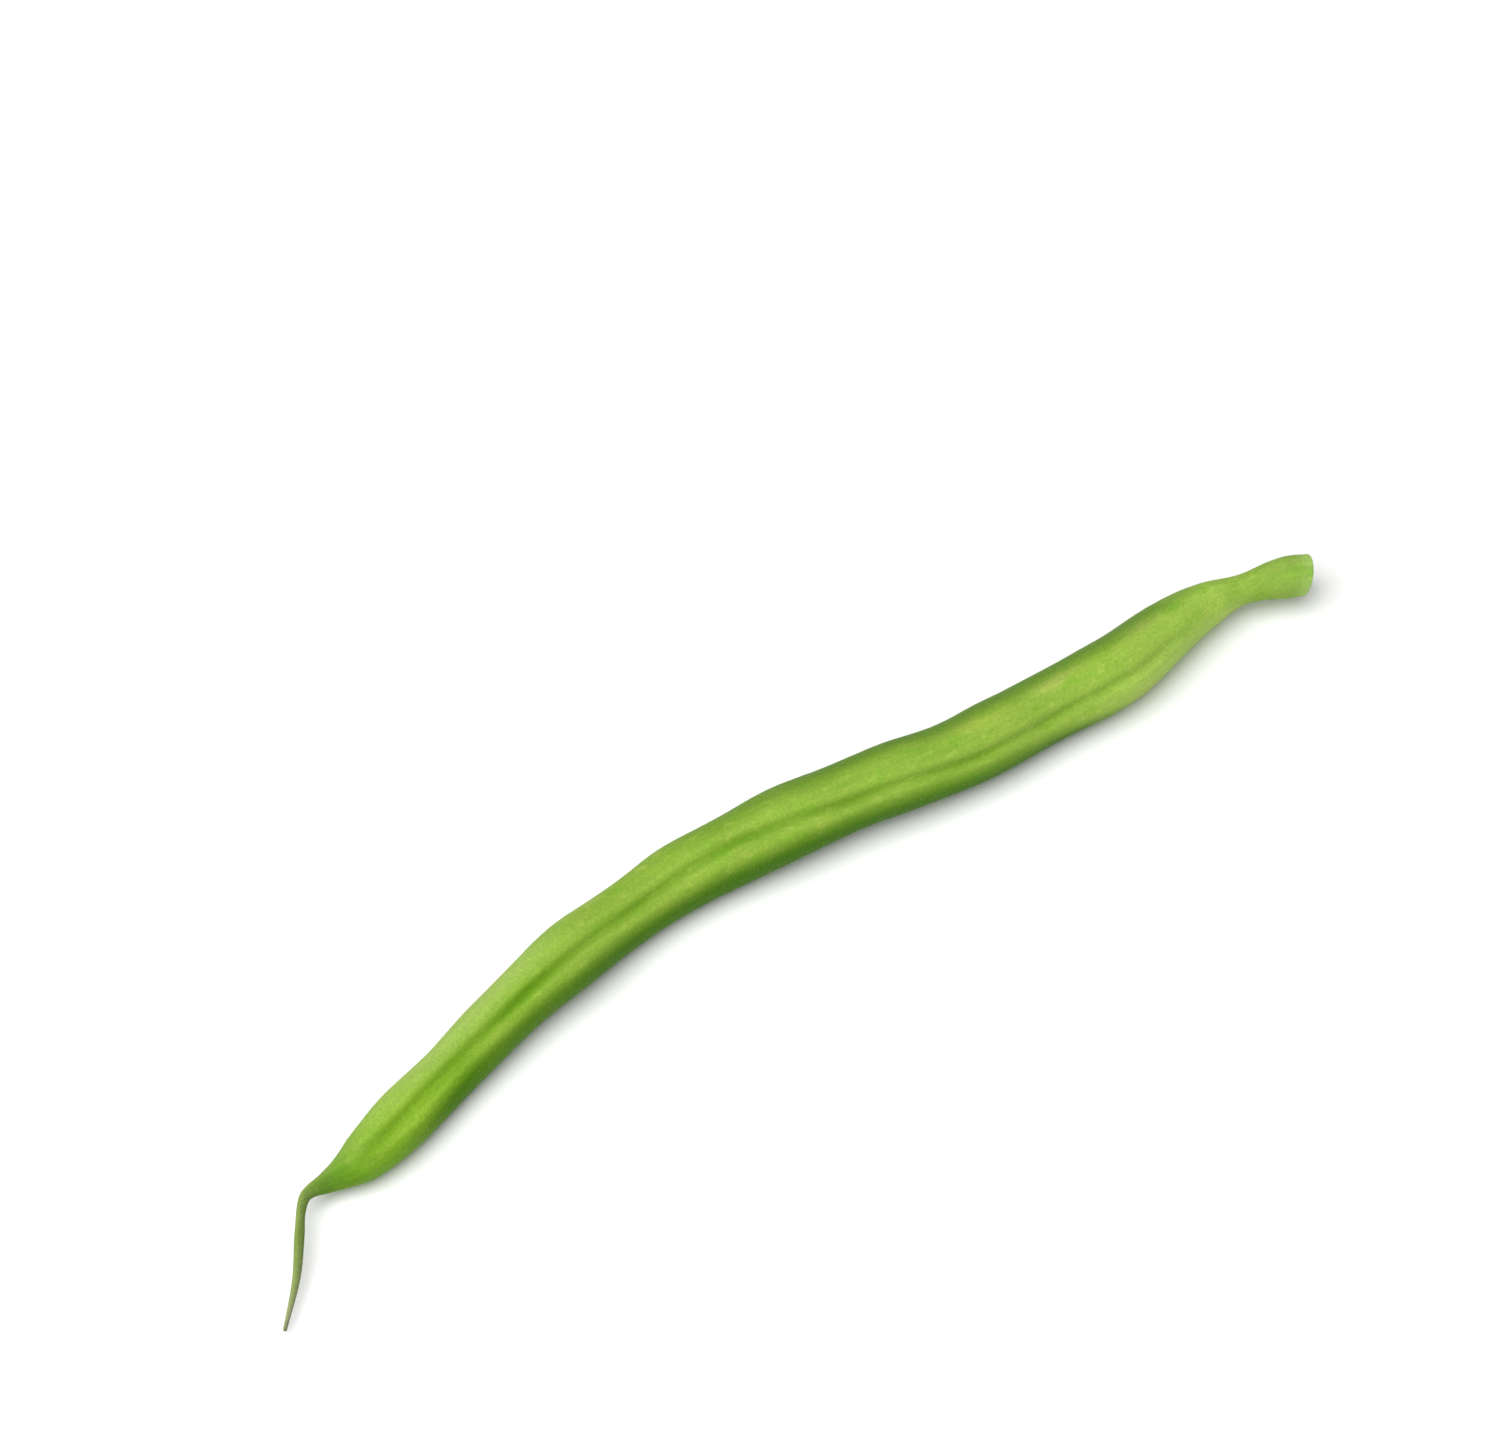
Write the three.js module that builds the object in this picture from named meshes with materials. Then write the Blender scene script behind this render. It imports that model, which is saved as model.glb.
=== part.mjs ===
import * as THREE from 'three';

// Fresh green bean pod, whole, lying on a level surface.
// Millimetres, +Z up. The cut neck points to +X, the beak and its dried tail to -X.
// All places along the pod are distances from the cut end, measured along its middle line.

const LENGTH = 156.6;

// middle line seen from above: distance along, x, y
const MIDDLE_LINE = [
  [0, 74.9, -1.65],
  [8, 67.35, 1.23],
  [14, 61.6, 2.05],
  [20, 55.6, 1.65],
  [28, 47.7, 0.7],
  [38, 37.7, 1.55],
  [50, 25.8, 2.2],
  [64, 12.0, 4.9],
  [76, 0.2, 6.75],
  [88, -11.8, 7.85],
  [108, -31.6, 5.35],
  [124, -47.1, 1.75],
  [134, -56.9, -0.6],
  [139, -61.7, -0.59],
  [141.5, -64.18, -0.6],
  [143, -65.49, -1.61],
  [146, -67.36, -4.05],
  [151, -70.41, -7.97],
  [LENGTH, -74.6, -12.02],
];

// half breadth: flared cut end, thin neck, shoulder, two thirds of even body, long taper,
// blunt beak, thin tail
const HALF_BREADTH = [
  [0, 2.38],
  [2.5, 2.45],
  [8, 1.78],
  [13, 2.62],
  [20, 3.55],
  [27, 4.0],
  [60, 3.95],
  [76, 4.06],
  [90, 3.6],
  [103, 3.6],
  [115, 3.1],
  [128, 3.1],
  [134, 2.6],
  [138, 1.42],
  [141, 0.72],
  [143.5, 0.5],
  [146.5, 0.54],
  [150, 0.46],
  [LENGTH, 0.2],
];

// height of the underside over the surface: three low zones touch it, the ends stand clear
const UNDERSIDE = [
  [0, 1.5],
  [8, 2.1],
  [14, 1.15],
  [24, 0.32],
  [38, -0.14],
  [62, 0.65],
  [86, -0.27],
  [106, 0.45],
  [126, -0.26],
  [134, 0.25],
  [138, 1.0],
  [141, 1.8],
  [145, 1.9],
  [LENGTH, 0.8],
];

// direction the seam faces: degrees up from level, on the -Y side of the pod
const SEAM_FACES = [
  [0, 30],
  [22, 37.5],
  [34, 39.5],
  [44, 35.5],
  [54, 41],
  [64, 46.5],
  [72, 57],
  [79, 68.5],
  [86, 64],
  [98, 62.5],
  [108, 66],
  [116, 68],
  [122, 72],
  [130, 69],
  [LENGTH, 69],
];

// seeds swell the two walls
const SEEDS = [30, 46, 58, 72, 86, 101, 115, 128];
const SEED_SWELL = 0.17;
const SEED_REACH = 4.0;
const SWELL_AT_SEAM = 0.5;

// seam groove: a narrow crease in a wide shallow valley, fading out at both ends
const CREASE_DEPTH = 0.34;
const CREASE_WIDTH = 0.7;
const VALLEY_DEPTH = 0.3;
const VALLEY_WIDTH = 1.8;
const BACK_SEAM_DEPTH = 0.1;
const BACK_SEAM_WIDTH = 0.7;
const SEAM_STARTS = [14, 30];
const SEAM_ENDS = [130, 138];

// the cut end is sliced aslant: it reaches furthest on the side that CUT_LEADS gives in degrees
// up from level, and is worn rounder on the opposite side
const CUT_SLANT = 0.24;
const CUT_LEADS = 141;
const SLANT_FADES = 5;
const CUT_WEAR = 1.6;

// rounded edge of the cut end and rounded tip of the tail
const CUT_EDGE = 0.25;
const TIP_EDGE = 0.2;

const AROUND = 40;
const BODY_STEP = 1.7;
const BEAK_STEP = 0.7;
const TAIL_STEP = 1.2;
const BEAK_STARTS = 132;
const TAIL_STARTS = 147;

// smooth curve through rows of [distance along, value, value...]
function through(rows, at) {
  const last = rows.length - 1;
  let i = 0;
  while (i < last - 1 && at > rows[i + 1][0]) i += 1;
  const slope = (k, c) => {
    const before = rows[Math.max(k - 1, 0)];
    const after = rows[Math.min(k + 1, last)];
    return (after[c] - before[c]) / (after[0] - before[0]);
  };
  const step = rows[i + 1][0] - rows[i][0];
  const t = (at - rows[i][0]) / step;
  return rows[i].slice(1).map((_, n) => {
    const c = n + 1;
    return (
      rows[i][c] * (1 + 2 * t) * (1 - t) ** 2 +
      slope(i, c) * step * t * (1 - t) ** 2 +
      rows[i + 1][c] * t * t * (3 - 2 * t) +
      slope(i + 1, c) * step * t * t * (t - 1)
    );
  });
}

const bell = (distance, width) => Math.exp(-((distance / width) ** 2));

function seedSwell(along) {
  return SEED_SWELL * SEEDS.reduce((sum, seed) => sum + bell(along - seed, SEED_REACH), 0);
}

function middle(along) {
  const [x, y] = through(MIDDLE_LINE, along);
  const [halfBreadth] = through(HALF_BREADTH, along);
  const [underside] = through(UNDERSIDE, along);
  return new THREE.Vector3(x, y, halfBreadth + seedSwell(along) + underside);
}

// distance from the middle line to the skin, at an angle away from the seam
function reach(along, angle) {
  const [halfBreadth] = through(HALF_BREADTH, along);
  const swell = seedSwell(along) * (SWELL_AT_SEAM + (1 - SWELL_AT_SEAM) * Math.sin(angle) ** 2);
  const seamShows =
    THREE.MathUtils.smoothstep(along, ...SEAM_STARTS) *
    (1 - THREE.MathUtils.smoothstep(along, ...SEAM_ENDS));
  const fromSeam = halfBreadth * Math.abs(angle);
  const fromBack = halfBreadth * (Math.PI - Math.abs(angle));
  const groove =
    CREASE_DEPTH * bell(fromSeam, CREASE_WIDTH) +
    VALLEY_DEPTH * bell(fromSeam, VALLEY_WIDTH) +
    BACK_SEAM_DEPTH * bell(fromBack, BACK_SEAM_WIDTH);
  return halfBreadth + swell - seamShows * groove;
}

// one ring of skin points; inset draws it in to round an edge
function ring(along, inset) {
  const centre = middle(along);
  const nudge = 0.05;
  const ahead = middle(Math.min(along + nudge, LENGTH));
  const behind = middle(Math.max(along - nudge, 0));
  const tangent = ahead.sub(behind).normalize();
  const side = new THREE.Vector3(0, 0, 1).cross(tangent).normalize();
  const up = tangent.clone().cross(side);
  const [seamDegrees] = through(SEAM_FACES, along);
  const seam = THREE.MathUtils.degToRad(seamDegrees);
  const nearCut = 1 - THREE.MathUtils.smoothstep(along, 0, SLANT_FADES);
  const points = [];
  for (let k = 0; k < AROUND; k += 1) {
    const angle = -Math.PI + (2 * Math.PI * k) / AROUND;
    const lead = Math.cos(seam + angle - THREE.MathUtils.degToRad(CUT_LEADS));
    const worn = (nearCut * CUT_WEAR * (1 - lead)) / 2;
    const out = reach(along, angle) - inset * (1 + worn);
    const point = centre
      .clone()
      .addScaledVector(side, out * Math.cos(seam + angle))
      .addScaledVector(up, out * Math.sin(seam + angle))
      .addScaledVector(tangent, -CUT_SLANT * nearCut * out * lead);
    // the low zones are pressed flat on the surface
    point.z = Math.max(point.z, 0);
    points.push(point);
  }
  return points;
}

function spread(from, to, step) {
  const count = Math.round((to - from) / step);
  return Array.from({ length: count }, (_, k) => from + ((to - from) * k) / count);
}

// places of the rings with how far each is drawn in: [distance along, inset]
const cutEdge = [0, 30, 60].map((degrees) => {
  const a = THREE.MathUtils.degToRad(degrees);
  return [CUT_EDGE * (1 - Math.cos(a)), CUT_EDGE * (1 - Math.sin(a))];
});
const skin = [
  ...spread(CUT_EDGE, BEAK_STARTS, BODY_STEP),
  ...spread(BEAK_STARTS, TAIL_STARTS, BEAK_STEP),
  ...spread(TAIL_STARTS, LENGTH - TIP_EDGE, TAIL_STEP),
  LENGTH - TIP_EDGE,
].map((along) => [along, 0]);
const tipEdge = [[LENGTH, TIP_EDGE / 2]];
const rings = [...cutEdge, ...skin, ...tipEdge].map(([along, inset]) => ring(along, inset));

const corners = rings.flat();
const cutCentre = corners.length;
const tipCentre = cutCentre + 1;
corners.push(middle(0), middle(LENGTH));

const faces = [];
for (let r = 0; r < rings.length - 1; r += 1) {
  for (let k = 0; k < AROUND; k += 1) {
    const next = (k + 1) % AROUND;
    const a = r * AROUND + k;
    const b = r * AROUND + next;
    const c = a + AROUND;
    const d = b + AROUND;
    faces.push(a, b, c, b, d, c);
  }
}
const lastRing = (rings.length - 1) * AROUND;
for (let k = 0; k < AROUND; k += 1) {
  const next = (k + 1) % AROUND;
  faces.push(cutCentre, next, k);
  faces.push(tipCentre, lastRing + k, lastRing + next);
}

const geometry = new THREE.BufferGeometry().setFromPoints(corners);
geometry.setIndex(faces);

// origin under the middle of the box round the pod
geometry.computeBoundingBox();
const boxCentre = geometry.boundingBox.getCenter(new THREE.Vector3());
geometry.translate(-boxCentre.x, -boxCentre.y, 0);
geometry.computeVertexNormals();

const pod = new THREE.Mesh(
  geometry,
  new THREE.MeshStandardMaterial({ color: 0x8fb545, roughness: 0.6, metalness: 0 }),
);
pod.name = 'pod';

const bean = new THREE.Group();
bean.name = 'green_bean';
bean.add(pod);

export default bean;
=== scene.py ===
import math
import bpy
from mathutils import Matrix, Vector


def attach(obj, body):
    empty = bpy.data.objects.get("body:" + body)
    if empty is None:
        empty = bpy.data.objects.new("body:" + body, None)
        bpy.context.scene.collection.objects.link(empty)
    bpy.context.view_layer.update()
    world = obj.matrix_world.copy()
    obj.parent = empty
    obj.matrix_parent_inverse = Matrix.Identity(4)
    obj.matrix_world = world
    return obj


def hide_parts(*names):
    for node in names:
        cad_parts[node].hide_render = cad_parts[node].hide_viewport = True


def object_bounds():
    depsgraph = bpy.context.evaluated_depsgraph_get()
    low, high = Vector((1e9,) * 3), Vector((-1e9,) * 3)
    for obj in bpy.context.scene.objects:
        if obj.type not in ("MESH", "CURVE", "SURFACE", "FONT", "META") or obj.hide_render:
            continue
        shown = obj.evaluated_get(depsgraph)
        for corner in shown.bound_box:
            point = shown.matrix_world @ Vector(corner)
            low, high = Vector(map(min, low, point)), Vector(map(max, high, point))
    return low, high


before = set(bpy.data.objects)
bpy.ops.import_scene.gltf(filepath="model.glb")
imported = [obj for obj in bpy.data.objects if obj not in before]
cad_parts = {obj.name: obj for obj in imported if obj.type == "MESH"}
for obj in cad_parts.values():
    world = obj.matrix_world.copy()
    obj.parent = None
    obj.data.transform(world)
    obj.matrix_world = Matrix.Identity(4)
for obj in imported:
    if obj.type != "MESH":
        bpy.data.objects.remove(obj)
part_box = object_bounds()
MM = 0.001


def in_mm(box):
    return [[round(c / MM, 2) for c in corner] for corner in box]


print("packed box in mm:", in_mm(part_box))


# %% [markdown]
# The photo was taken with a long lens from half above, with the pod running
# away to the right. A 100 mm lens half a metre off gives the same flat
# perspective. The camera is set by where it stands, how far it is turned round
# the pod and how steeply it looks down.
# %% Camera
CAMERA_AT = (-166.9, -210.77, 376.4)
CAMERA_TURNED = math.radians(-37.3)
CAMERA_LOOKS_DOWN = math.radians(52.0)
LENS = 100
SENSOR_WIDTH = 36
NEAREST_SEEN = 10

camera = bpy.data.objects.new("camera", bpy.data.cameras.new("camera"))
bpy.context.scene.collection.objects.link(camera)
bpy.context.scene.camera = camera
camera.data.lens = LENS
camera.data.sensor_width = SENSOR_WIDTH
camera.data.clip_start = NEAREST_SEEN * MM
looks_along = Vector(
    (
        -math.sin(CAMERA_TURNED) * math.cos(CAMERA_LOOKS_DOWN),
        math.cos(CAMERA_TURNED) * math.cos(CAMERA_LOOKS_DOWN),
        -math.sin(CAMERA_LOOKS_DOWN),
    )
)
camera.location = Vector(CAMERA_AT) * MM
camera.rotation_euler = looks_along.to_track_quat("-Z", "Y").to_euler()
print("camera looks along", [round(c, 3) for c in looks_along])


# %% [markdown]
# Both the solid and its looks follow the same few measured rows, so the dressed
# pod lies exactly where the solid one does. Each row starts with the distance
# from the cut end along the middle line. The middle line has its place seen
# from above, the underside its height over the table, and the seam the degrees
# by which it faces up from level.
# %% Measured rows of the pod
LENGTH = 156.6
MIDDLE_LINE = [
    [0, 74.9, -1.65],
    [8, 67.35, 1.23],
    [14, 61.6, 2.05],
    [20, 55.6, 1.65],
    [28, 47.7, 0.7],
    [38, 37.7, 1.55],
    [50, 25.8, 2.2],
    [64, 12.0, 4.9],
    [76, 0.2, 6.75],
    [88, -11.8, 7.85],
    [108, -31.6, 5.35],
    [124, -47.1, 1.75],
    [134, -56.9, -0.6],
    [139, -61.7, -0.59],
    [141.5, -64.18, -0.6],
    [143, -65.49, -1.61],
    [146, -67.36, -4.05],
    [151, -70.41, -7.97],
    [LENGTH, -74.6, -12.02],
]
HALF_BREADTH = [
    [0, 2.38],
    [2.5, 2.45],
    [8, 1.78],
    [13, 2.62],
    [20, 3.55],
    [27, 4.0],
    [60, 3.95],
    [76, 4.06],
    [90, 3.6],
    [103, 3.6],
    [115, 3.1],
    [128, 3.1],
    [134, 2.6],
    [138, 1.42],
    [141, 0.72],
    [143.5, 0.5],
    [146.5, 0.54],
    [150, 0.46],
    [LENGTH, 0.2],
]
UNDERSIDE = [
    [0, 1.5],
    [8, 2.1],
    [14, 1.15],
    [24, 0.32],
    [38, -0.14],
    [62, 0.65],
    [86, -0.27],
    [106, 0.45],
    [126, -0.26],
    [134, 0.25],
    [138, 1.0],
    [141, 1.8],
    [145, 1.9],
    [LENGTH, 0.8],
]
SEAM_FACES = [
    [0, 30],
    [22, 37.5],
    [34, 39.5],
    [44, 35.5],
    [54, 41],
    [64, 46.5],
    [72, 57],
    [79, 68.5],
    [86, 64],
    [98, 62.5],
    [108, 66],
    [116, 68],
    [122, 72],
    [130, 69],
    [LENGTH, 69],
]
SEAM_STARTS = (14, 30)
SEAM_ENDS = (130, 138)
SEEDS = [30, 46, 58, 72, 86, 101, 115, 128]
SEED_SWELL = 0.17
SEED_REACH = 4.0
print("the pod is", LENGTH, "mm long with", len(SEEDS), "seeds")


# %% [markdown]
# The same kind of rows steers two colours. The side turned away from the light
# gets a painted shade, a deeper green, and the bottom of the crease a deeper
# green that is partly painted shade, and neither is equally strong from end to
# end. The first table says how far round the painted shade starts, from 1 at the
# side facing the light to -1 opposite it, and how strong it is. The second says
# only how strong the crease's colour is.
# %% Rows for the colours
PAINTED_SHADE = [
    [0, -0.9, 0.0],
    [6, -0.88, 0.0],
    [19, -0.84, 1.0],
    [26, -0.83, 1.0],
    [40, -0.56, 1.0],
    [52, -0.33, 1.0],
    [64, -0.26, 1.0],
    [78, -0.13, 1.0],
    [88, -0.12, 0.96],
    [100, -0.1, 0.96],
    [110, 0.0, 0.84],
    [117, 0.12, 0.84],
    [123, 0.07, 0.9],
    [128, -0.05, 0.6],
    [134, -0.05, 0.1],
    [LENGTH, -0.05, 0.1],
]
# how strong the crease's deeper green and painted shade is, along the pod
CREASE_GREEN_AND_SHADE = [
    [0, 0.1],
    [30, 0.15],
    [38, 0.36],
    [44, 0.12],
    [50, 0.62],
    [58, 0.3],
    [65, 0.62],
    [71, 0.42],
    [78, 0.72],
    [84, 0.42],
    [93, 0.6],
    [99, 0.38],
    [109, 0.95],
    [117, 0.48],
    [125, 0.3],
    [129, 0.55],
    [LENGTH, 0.5],
]
print("rows of shade and of crease:", len(PAINTED_SHADE), len(CREASE_GREEN_AND_SHADE))


# %% [markdown]
# A smooth curve is drawn through the rows, which needs far fewer numbers than a
# scanned outline and stays easy to change. The slope at each row comes from its
# two neighbours, so the curve never has a corner.
# %% Curve through the rows
def through(rows, along):
    """The smooth curve through the rows, at a distance along the pod."""
    last = len(rows) - 1
    i = 0
    while i < last - 1 and along > rows[i + 1][0]:
        i += 1

    def slope(k, c):
        before = rows[max(k - 1, 0)]
        after = rows[min(k + 1, last)]
        return (after[c] - before[c]) / (after[0] - before[0])

    step = rows[i + 1][0] - rows[i][0]
    t = (along - rows[i][0]) / step
    return [
        rows[i][c] * (1 + 2 * t) * (1 - t) ** 2
        + slope(i, c) * step * t * (1 - t) ** 2
        + rows[i + 1][c] * t * t * (3 - 2 * t)
        + slope(i + 1, c) * step * t * t * (t - 1)
        for c in range(1, len(rows[0]))
    ]


def smooth_step(value, low, high):
    t = min(max((value - low) / (high - low), 0), 1)
    return t * t * (3 - 2 * t)


print("half breadth in the middle of the pod:", through(HALF_BREADTH, LENGTH / 2)[0], "mm")


# %% [markdown]
# The pod will be swept along a guide: a string of points down its middle, one
# for each ring of skin. Rings stand close together at the cut end and at the
# beak, where the shape turns quickly. The first few shrink to a point and close
# the cut face, which is slightly hollow, as the soft middle of a cut stalk
# dries first.
# %% Rings along the guide
CUT_HOLLOW = 0.18
CUT_EDGE = 0.25
TIP_EDGE = 0.2
FACE_SHARES = (0.02, 0.2, 0.38, 0.55, 0.7, 0.82, 0.92)
EDGE_TURNS = [math.radians(degrees) for degrees in range(0, 90, 15)]
BEAK_STARTS = 132
TAIL_STARTS = 147
BODY_STEP = 0.2
BEAK_STEP = 0.12
TAIL_STEP = 0.3


def spread(low, high, step):
    count = round((high - low) / step)
    return [low + (high - low) * k / count for k in range(count)]


def guide_rings():
    """Rows of distance along, inset that rounds an edge, and share of the full breadth."""
    rows = [(CUT_HOLLOW * (1 - share**2), CUT_EDGE, share) for share in FACE_SHARES]
    for a in EDGE_TURNS:
        rows.append((CUT_EDGE * (1 - math.cos(a)), CUT_EDGE * (1 - math.sin(a)), 1))
    body = spread(CUT_EDGE, BEAK_STARTS, BODY_STEP)
    beak = spread(BEAK_STARTS, TAIL_STARTS, BEAK_STEP)
    tail = spread(TAIL_STARTS, LENGTH - TIP_EDGE, TAIL_STEP)
    rows += [(along, 0, 1) for along in body + beak + tail]
    for a in EDGE_TURNS:
        rows.append((LENGTH - TIP_EDGE * (1 - math.sin(a)), TIP_EDGE * (1 - math.cos(a)), 1))
    return rows


print("rings along the guide:", len(guide_rings()))


# %% [markdown]
# Every point of the guide carries what the sweep has to know there, as named
# attributes, so the node tree can stay one plain formula. The materials read
# some of them too, because the sweep hands them on to the skin.
# %% Guide line with its attributes
SLANT_FADES = 5.0
NUDGE = 0.05


def swell_at(along):
    return sum(math.exp(-(((along - seed) / SEED_REACH) ** 2)) for seed in SEEDS)


def middle(along):
    x, y = through(MIDDLE_LINE, along)
    breadth = through(HALF_BREADTH, along)[0]
    return Vector((x, y, breadth + SEED_SWELL * swell_at(along) + through(UNDERSIDE, along)[0]))


def ring_facts(along, inset, share):
    ahead = middle(min(along + NUDGE, LENGTH))
    behind = middle(max(along - NUDGE, 0))
    painted_shade_starts, painted_shade_strength = through(PAINTED_SHADE, along)
    return {
        "along": along * MM,
        "inset": inset * MM,
        "share": share,
        "half_breadth": through(HALF_BREADTH, along)[0] * MM,
        "seed_swell": swell_at(along),
        "seam_faces": math.radians(through(SEAM_FACES, along)[0]),
        "seam_shows": smooth_step(along, *SEAM_STARTS) * (1 - smooth_step(along, *SEAM_ENDS)),
        "painted_shade_starts": painted_shade_starts,
        "painted_shade_strength": painted_shade_strength,
        "crease_green_and_shade": through(CREASE_GREEN_AND_SHADE, along)[0],
        "near_cut": 1 - smooth_step(along, 0, SLANT_FADES),
        "heading": (ahead - behind).normalized(),
    }


def make_guide():
    rows = guide_rings()
    facts = [ring_facts(*row) for row in rows]
    mesh = bpy.data.meshes.new("pod guide")
    places = [middle(along) * MM for along, _, _ in rows]
    mesh.from_pydata(places, [(k, k + 1) for k in range(len(rows) - 1)], [])
    for name in facts[0]:
        if name == "heading":
            kept = mesh.attributes.new(name, "FLOAT_VECTOR", "POINT")
            kept.data.foreach_set("vector", [c for row in facts for c in row[name]])
        else:
            kept = mesh.attributes.new(name, "FLOAT", "POINT")
            kept.data.foreach_set("value", [row[name] for row in facts])
    guide = bpy.data.objects.new("pod guide", mesh)
    bpy.context.scene.collection.objects.link(guide)
    return guide


guide = make_guide()
print("attributes on the guide:", len(guide.data.attributes))


# %% [markdown]
# Node trees are wired in code here, so a few small helpers keep that short: one
# adds a node and fills its inputs, and the others do sums with numbers and with
# vectors. They serve the geometry and the materials alike.
# %% Helpers for node trees
def put(tree, kind, inputs=None, **settings):
    """Adds a node, sets its options and fills its inputs with values or links."""
    made = tree.nodes.new(kind)
    for option, value in settings.items():
        setattr(made, option, value)
    for place, value in (inputs or {}).items():
        if isinstance(value, bpy.types.NodeSocket):
            tree.links.new(value, made.inputs[place])
        else:
            made.inputs[place].default_value = value
    return made


def sums(tree, operation, *values):
    return put(tree, "ShaderNodeMath", dict(enumerate(values)), operation=operation).outputs[0]


def minus(tree, first, second):
    return sums(tree, "SUBTRACT", first, second)


def plus(tree, total, *others):
    for other in others:
        total = sums(tree, "ADD", total, other)
    return total


def times(tree, total, *others):
    for other in others:
        total = sums(tree, "MULTIPLY", total, other)
    return total


def vector_sums(tree, operation, *values):
    made = put(tree, "ShaderNodeVectorMath", dict(enumerate(values)), operation=operation)
    return made.outputs["Vector"]


def scaled(tree, vector, by):
    made = put(tree, "ShaderNodeVectorMath", {0: vector, "Scale": by}, operation="SCALE")
    return made.outputs["Vector"]


def bell(tree, distance, width):
    """1 at no distance, falling smoothly to nothing past about twice the width."""
    share = sums(tree, "DIVIDE", distance, width)
    return sums(tree, "EXPONENT", times(tree, share, share, -1.0))


def add_inputs(tree, wanted):
    """Gives a tree or group its named inputs, from rows of name, kind and value."""
    for name, kind, value in wanted:
        made = tree.interface.new_socket(name, in_out="INPUT", socket_type=kind)
        if value is not None:
            made.default_value = value


print("helpers for nodes, sums, vectors and bell curves are ready")


# %% [markdown]
# A bean's skin is a tube that follows a rule: round, drawn in by a crease and a
# shallow valley at the seam, swollen a little over each seed, and pressed flat
# where it lies on the table. It could be sculpted, but then the seam would
# wander off the line of the solid. Here Geometry Nodes sweep a circle along the
# guide and then move each point to the distance that the rule gives. These are
# the sizes in that rule.
# %% Sizes in the sweep
SIDES = 96
CUT_SLANT = 0.24
POD_SIZES = [
    ("Geometry", "NodeSocketGeometry", None),
    ("Sides", "NodeSocketInt", SIDES),
    ("Crease Depth", "NodeSocketFloat", 0.34 * MM),
    ("Crease Width", "NodeSocketFloat", 0.7 * MM),
    ("Valley Depth", "NodeSocketFloat", 0.3 * MM),
    ("Valley Width", "NodeSocketFloat", 1.8 * MM),
    ("Back Seam Depth", "NodeSocketFloat", 0.1 * MM),
    ("Back Seam Width", "NodeSocketFloat", 0.7 * MM),
    ("Seed Swell", "NodeSocketFloat", SEED_SWELL * MM),
    ("Swell At Seam", "NodeSocketFloat", 0.5),
    ("Cut Slant", "NodeSocketFloat", CUT_SLANT),
    ("Cut Leads", "NodeSocketFloat", math.radians(141)),
    ("Cut Wear", "NodeSocketFloat", 1.6),
    # the turn round the pod that faces the light, which places the painted light and shade
    ("Lit Side", "NodeSocketFloat", math.radians(142)),
    ("Unevenness", "NodeSocketFloat", 0.07 * MM),
    ("Unevenness Size", "NodeSocketFloat", 3.4 * MM),
    ("Fine Unevenness", "NodeSocketFloat", 0.018 * MM),
    ("Fine Size", "NodeSocketFloat", 0.9 * MM),
    ("Smooth Below Breadth", "NodeSocketFloat", 3 * MM),
    ("Seed", "NodeSocketFloat", 4.0),
    ("Skin", "NodeSocketMaterial", None),
    ("Flesh", "NodeSocketMaterial", None),
]
print("inputs of the sweep:", len(POD_SIZES))


# %% [markdown]
# The tube starts as a plain circle on the guide. Two things are noted on its
# points before they move: where the middle line runs, and how far round they
# sit, counted from the seam.
# %% Tube round the guide
def read(tree, name, kind="FLOAT"):
    made = put(tree, "GeometryNodeInputNamedAttribute", {"Name": name}, data_type=kind)
    return made.outputs["Attribute"]


def keep(tree, geometry, name, value, kind="FLOAT"):
    """Stores a value on the points under a name, for the materials to read."""
    made = put(
        tree,
        "GeometryNodeStoreNamedAttribute",
        {"Geometry": geometry, "Name": name, "Value": value},
        data_type=kind,
        domain="POINT",
    )
    return made.outputs["Geometry"]


def noted(tree, curve, kind, name, value):
    """The curve, and the value that each of its points keeps through the sweep."""
    made = put(tree, "GeometryNodeCaptureAttribute", domain="POINT")
    made.capture_items.new(kind, name)
    tree.links.new(curve, made.inputs["Geometry"])
    tree.links.new(value, made.inputs[name])
    return made.outputs["Geometry"], made.outputs[name]


def tube_round_guide(tree, size):
    """A thin tube on the guide, its middle line, and the angle away from the seam."""
    line = put(tree, "GeometryNodeMeshToCurve", {"Mesh": size["Geometry"]}).outputs["Curve"]
    place = put(tree, "GeometryNodeInputPosition").outputs["Position"]
    line, centre = noted(tree, line, "VECTOR", "Centre", place)
    circle = put(
        tree, "GeometryNodeCurvePrimitiveCircle", {"Resolution": size["Sides"], "Radius": MM}
    ).outputs["Curve"]
    round_the_circle = put(tree, "GeometryNodeSplineParameter").outputs["Factor"]
    circle, turn = noted(tree, circle, "FLOAT", "Turn", round_the_circle)
    tube = put(
        tree,
        "GeometryNodeCurveToMesh",
        {"Curve": line, "Profile Curve": circle, "Fill Caps": True},
    ).outputs["Mesh"]
    return tube, centre, times(tree, minus(tree, turn, 0.5), math.tau)


print("sides of the tube:", SIDES)


# %% [markdown]
# Each form of the skin is one small term of the rule. Grooves are bell curves
# across the seam and across the back. A seed swells the two walls more than the
# seam. Soft noise adds the unevenness of something that grew, and fades where
# the tail gets thin. The edge of the cut is worn rounder opposite the side that
# leads.
# %% Terms of the rule
def grooves(tree, size, from_seam, from_back):
    rows = (("Valley", from_seam), ("Back Seam", from_back), ("Crease", from_seam))
    depths = [
        times(tree, bell(tree, distance, size[name + " Width"]), size[name + " Depth"])
        for name, distance in rows
    ]
    return times(tree, plus(tree, *depths), read(tree, "seam_shows"))


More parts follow.
